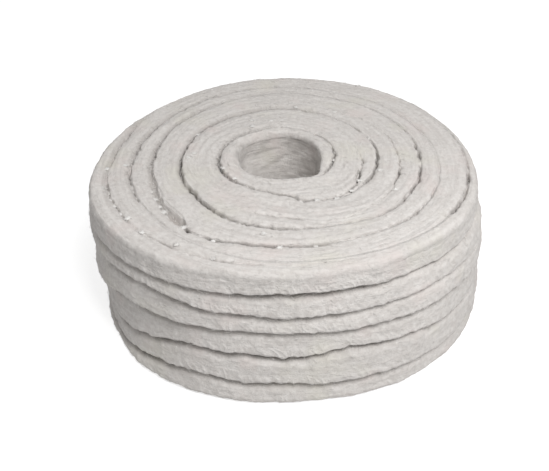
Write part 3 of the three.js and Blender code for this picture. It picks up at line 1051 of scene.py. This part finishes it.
def packing_fibre():
    """Dry white mineral fibre: mottled, stroked along the braid, with painted shade in the seams, and with
    no shine.
    """
    material = bpy.data.materials.new("packing_fibre")
    n = Nodes(material)
    where = n.add("ShaderNodeTexCoord").outputs["Object"]
    rope = n.add("ShaderNodeUVMap", uv_map="rope").outputs["UV"]
    edge_of_turn = n.add("ShaderNodeAttribute", attribute_name="turn_edge").outputs["Fac"]
    seam = n.add("ShaderNodeAttribute", attribute_name="seam_shade").outputs["Fac"]
    inside_turn = n.spread(edge_of_turn, 0.3, 0.95, to_low=1.0, to_high=0.0)

    mottle = n.noise(where, 520, 4.0, 0.66)
    specks = n.noise(where, 1250, 2.0, 0.7)
    strokes = n.noise(n.mapped(rope, (0.35, 1, 1), STROKE_SLANT), 620, 3.0, 0.6)
    streaks = n.noise(n.mapped(rope, (0.09, 1, 1)), 560, 3.0, 0.55)
    strands = n.multiply(braid_strands(n, rope, where), inside_turn)

    colour = n.mix(n.spread(mottle, 0.34, 0.66), DUSTY_COLOUR, PALE_COLOUR)
    for factor, tint in (
        (n.spread(strokes, 0.35, 0.65, to_high=0.55), FIBRE_COLOUR),
        (n.spread(specks, 0.62, 0.74, to_high=0.4), SPECK_COLOUR),
        (n.spread(specks, 0.38, 0.28, to_high=0.6), LINT_COLOUR),
        (n.spread(n.noise(where, 62), 0.56, 0.72, to_high=0.6), PINK_COLOUR),
        (n.spread(n.noise(where, 44), 0.56, 0.72, to_high=0.6), YELLOW_COLOUR),
        (n.multiply(n.spread(streaks, 0.5, 0.68, to_high=0.5), inside_turn), DUSTY_COLOUR),
        (n.multiply(n.spread(streaks, 0.5, 0.34, to_high=0.4), inside_turn), PALE_COLOUR),
        (n.multiply(strands, 0.2), LINT_COLOUR),
    ):
        colour = n.mix(factor, colour, tint)
    # Painted shade: the seam_shade attribute darkens the seams, gaps, pocket, overhangs and bore towards
    # the seam shade colour
    painted_shade = n.multiply(n.spread(seam, 0.15, 0.95), n.spread(mottle, 0.25, 0.6, 0.65, 1.0))
    colour = n.mix(n.multiply(painted_shade, 0.9), colour, SEAM_SHADE_COLOUR)

    height = n.multiply(n.noise(where, 1500, 4.0, 0.65), 0.55)
    for relief, strength in ((n.multiply(strokes, inside_turn), 0.9), (strands, 0.28),
                             (n.multiply(streaks, inside_turn), 0.7)):
        height = n.sum(height, n.multiply(relief, strength))
    bump = n.add("ShaderNodeBump", {"Strength": 0.8, "Distance": BUMP_DEPTH, "Height": height})
    shader = n.add("ShaderNodeBsdfPrincipled", {
        "Base Color": colour,
        "Roughness": n.spread(mottle, 0.3, 0.7, 0.98, 0.88),
        "Specular IOR Level": 0.2,
        "Sheen Weight": 0.12,
        "Sheen Roughness": 0.6,
        "Normal": bump.outputs["Normal"],
    })
    n.add("ShaderNodeOutputMaterial", {"Surface": shader.outputs["BSDF"]})
    return material


def loose_fibre(name, dull, bright):
    """Single fibres that stand off the rope, from a dull tone to a bright one."""
    material = bpy.data.materials.new(name)
    n = Nodes(material)
    tone = n.noise(n.add("ShaderNodeTexCoord").outputs["Object"], 400)
    shader = n.add("ShaderNodeBsdfPrincipled", {
        "Base Color": n.mix(n.spread(tone, 0.3, 0.7), dull, bright),
        "Roughness": n.spread(tone, 0.3, 0.7, 0.9, 0.75),
        "Specular IOR Level": 0.25,
    })
    n.add("ShaderNodeOutputMaterial", {"Surface": shader.outputs["BSDF"]})
    return material


def new_object(name, data):
    """An object in the scene, made of a mesh, a camera or a lamp."""
    made = bpy.data.objects.new(name, data)
    bpy.context.scene.collection.objects.link(made)
    return made


def add_piece(name, mesh, material):
    """Puts a mesh into the scene as a piece that rides on the roll."""
    mesh.materials.append(material)
    piece = new_object(name, mesh)
    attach(piece, "root")
    return piece


def build_roll():
    """The six layers, which replace the solid, and the fibres on them."""
    rope = packing_fibre()
    hair = loose_fibre("loose_fibre", FIBRE_COLOUR, LINT_COLOUR)
    lint = loose_fibre("lint_fibre", PALE_COLOUR, BRIGHT_COLOUR)
    rings = {"bottom_layer": bottom_layer()}
    for layer in range(1, TOP):
        rings[f"layer_{layer + 1}"] = plain_layer(layer)
    rings["top_layer"] = top_layer()
    for name, ring in rings.items():
        piece = add_piece(name, ring.mesh(name), rope)
        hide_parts(NODE)
    samples = surface_samples(rings.values())
    in_seams = clamp(samples.shade) ** 2 + 1e-4
    off_seams = 1.02 - clamp(samples.shade)
    add_piece("seam_fibres", lying_fibres("seam_fibres", samples, in_seams, SEAM_FIBRES), hair)
    add_piece("surface_fuzz", lying_fibres("surface_fuzz", samples, off_seams, SURFACE_FUZZ), hair)
    add_piece("lint_tufts", lint_tufts(samples), lint)


def aim_at(thing, eye, aim):
    """Moves a camera or a lamp to a place and turns it towards another."""
    thing.location = eye
    thing.rotation_euler = (aim - eye).to_track_quat("-Z", "Y").to_euler()


def add_camera():
    data = bpy.data.cameras.new("camera")
    data.lens = 46.16
    data.sensor_width = 36.0
    data.clip_start = 0.01
    camera = new_object("camera", data)
    aim_at(camera, CAMERA_EYE, CAMERA_AIM)
    bpy.context.scene.camera = camera


def add_lamp():
    data = bpy.data.lights.new("key", "AREA")
    data.size = 0.2
    data.energy = 1.42
    aim_at(new_object("key", data), KEY_EYE, KEY_AIM)


def white_to_camera(n, plain, white):
    """Mixes a plain look with a white one for what the camera sees directly, mirrored or through glass."""
    path = n.add("ShaderNodeLightPath").outputs
    seen = n.math("MAXIMUM", path["Is Camera Ray"], path["Is Glossy Ray"])
    seen = n.math("MAXIMUM", seen, path["Is Transmission Ray"])
    return n.add("ShaderNodeMixShader", {0: seen, 1: plain, 2: white}).outputs[0]


def add_world():
    """Soft light from all sides, in front of a white background."""
    world = bpy.data.worlds.new("studio")
    bpy.context.scene.world = world
    n = Nodes(world)
    soft = n.add("ShaderNodeBackground", {"Color": WHITE, "Strength": WORLD_LEVEL}).outputs[0]
    white = n.add("ShaderNodeBackground", {"Color": WHITE, "Strength": 1.0}).outputs[0]
    n.add("ShaderNodeOutputWorld", {"Surface": white_to_camera(n, soft, white)})


def add_floor():
    """A pale floor that looks white and keeps the roll's soft shadow."""
    material = bpy.data.materials.new("pale_floor")
    n = Nodes(material)
    paint = n.add("ShaderNodeBsdfDiffuse", {"Color": FLOOR_PAINT}).outputs[0]
    glow = n.add("ShaderNodeEmission", {"Color": WHITE, "Strength": FLOOR_GLOW}).outputs[0]
    lifted = n.add("ShaderNodeAddShader", {0: paint, 1: glow}).outputs[0]
    n.add("ShaderNodeOutputMaterial", {"Surface": white_to_camera(n, paint, lifted)})
    corners = [(x * FLOOR_HALF, y * FLOOR_HALF, 0) for x, y in ((-1, -1), (1, -1), (1, 1), (-1, 1))]
    mesh = bpy.data.meshes.new("floor")
    mesh.from_pydata(corners, [], [(0, 1, 2, 3)])
    mesh.materials.append(material)
    floor = new_object("floor", mesh)


build_roll()
add_camera()
add_lamp()
add_world()
add_floor()
bpy.context.scene.view_settings.view_transform = "Standard"
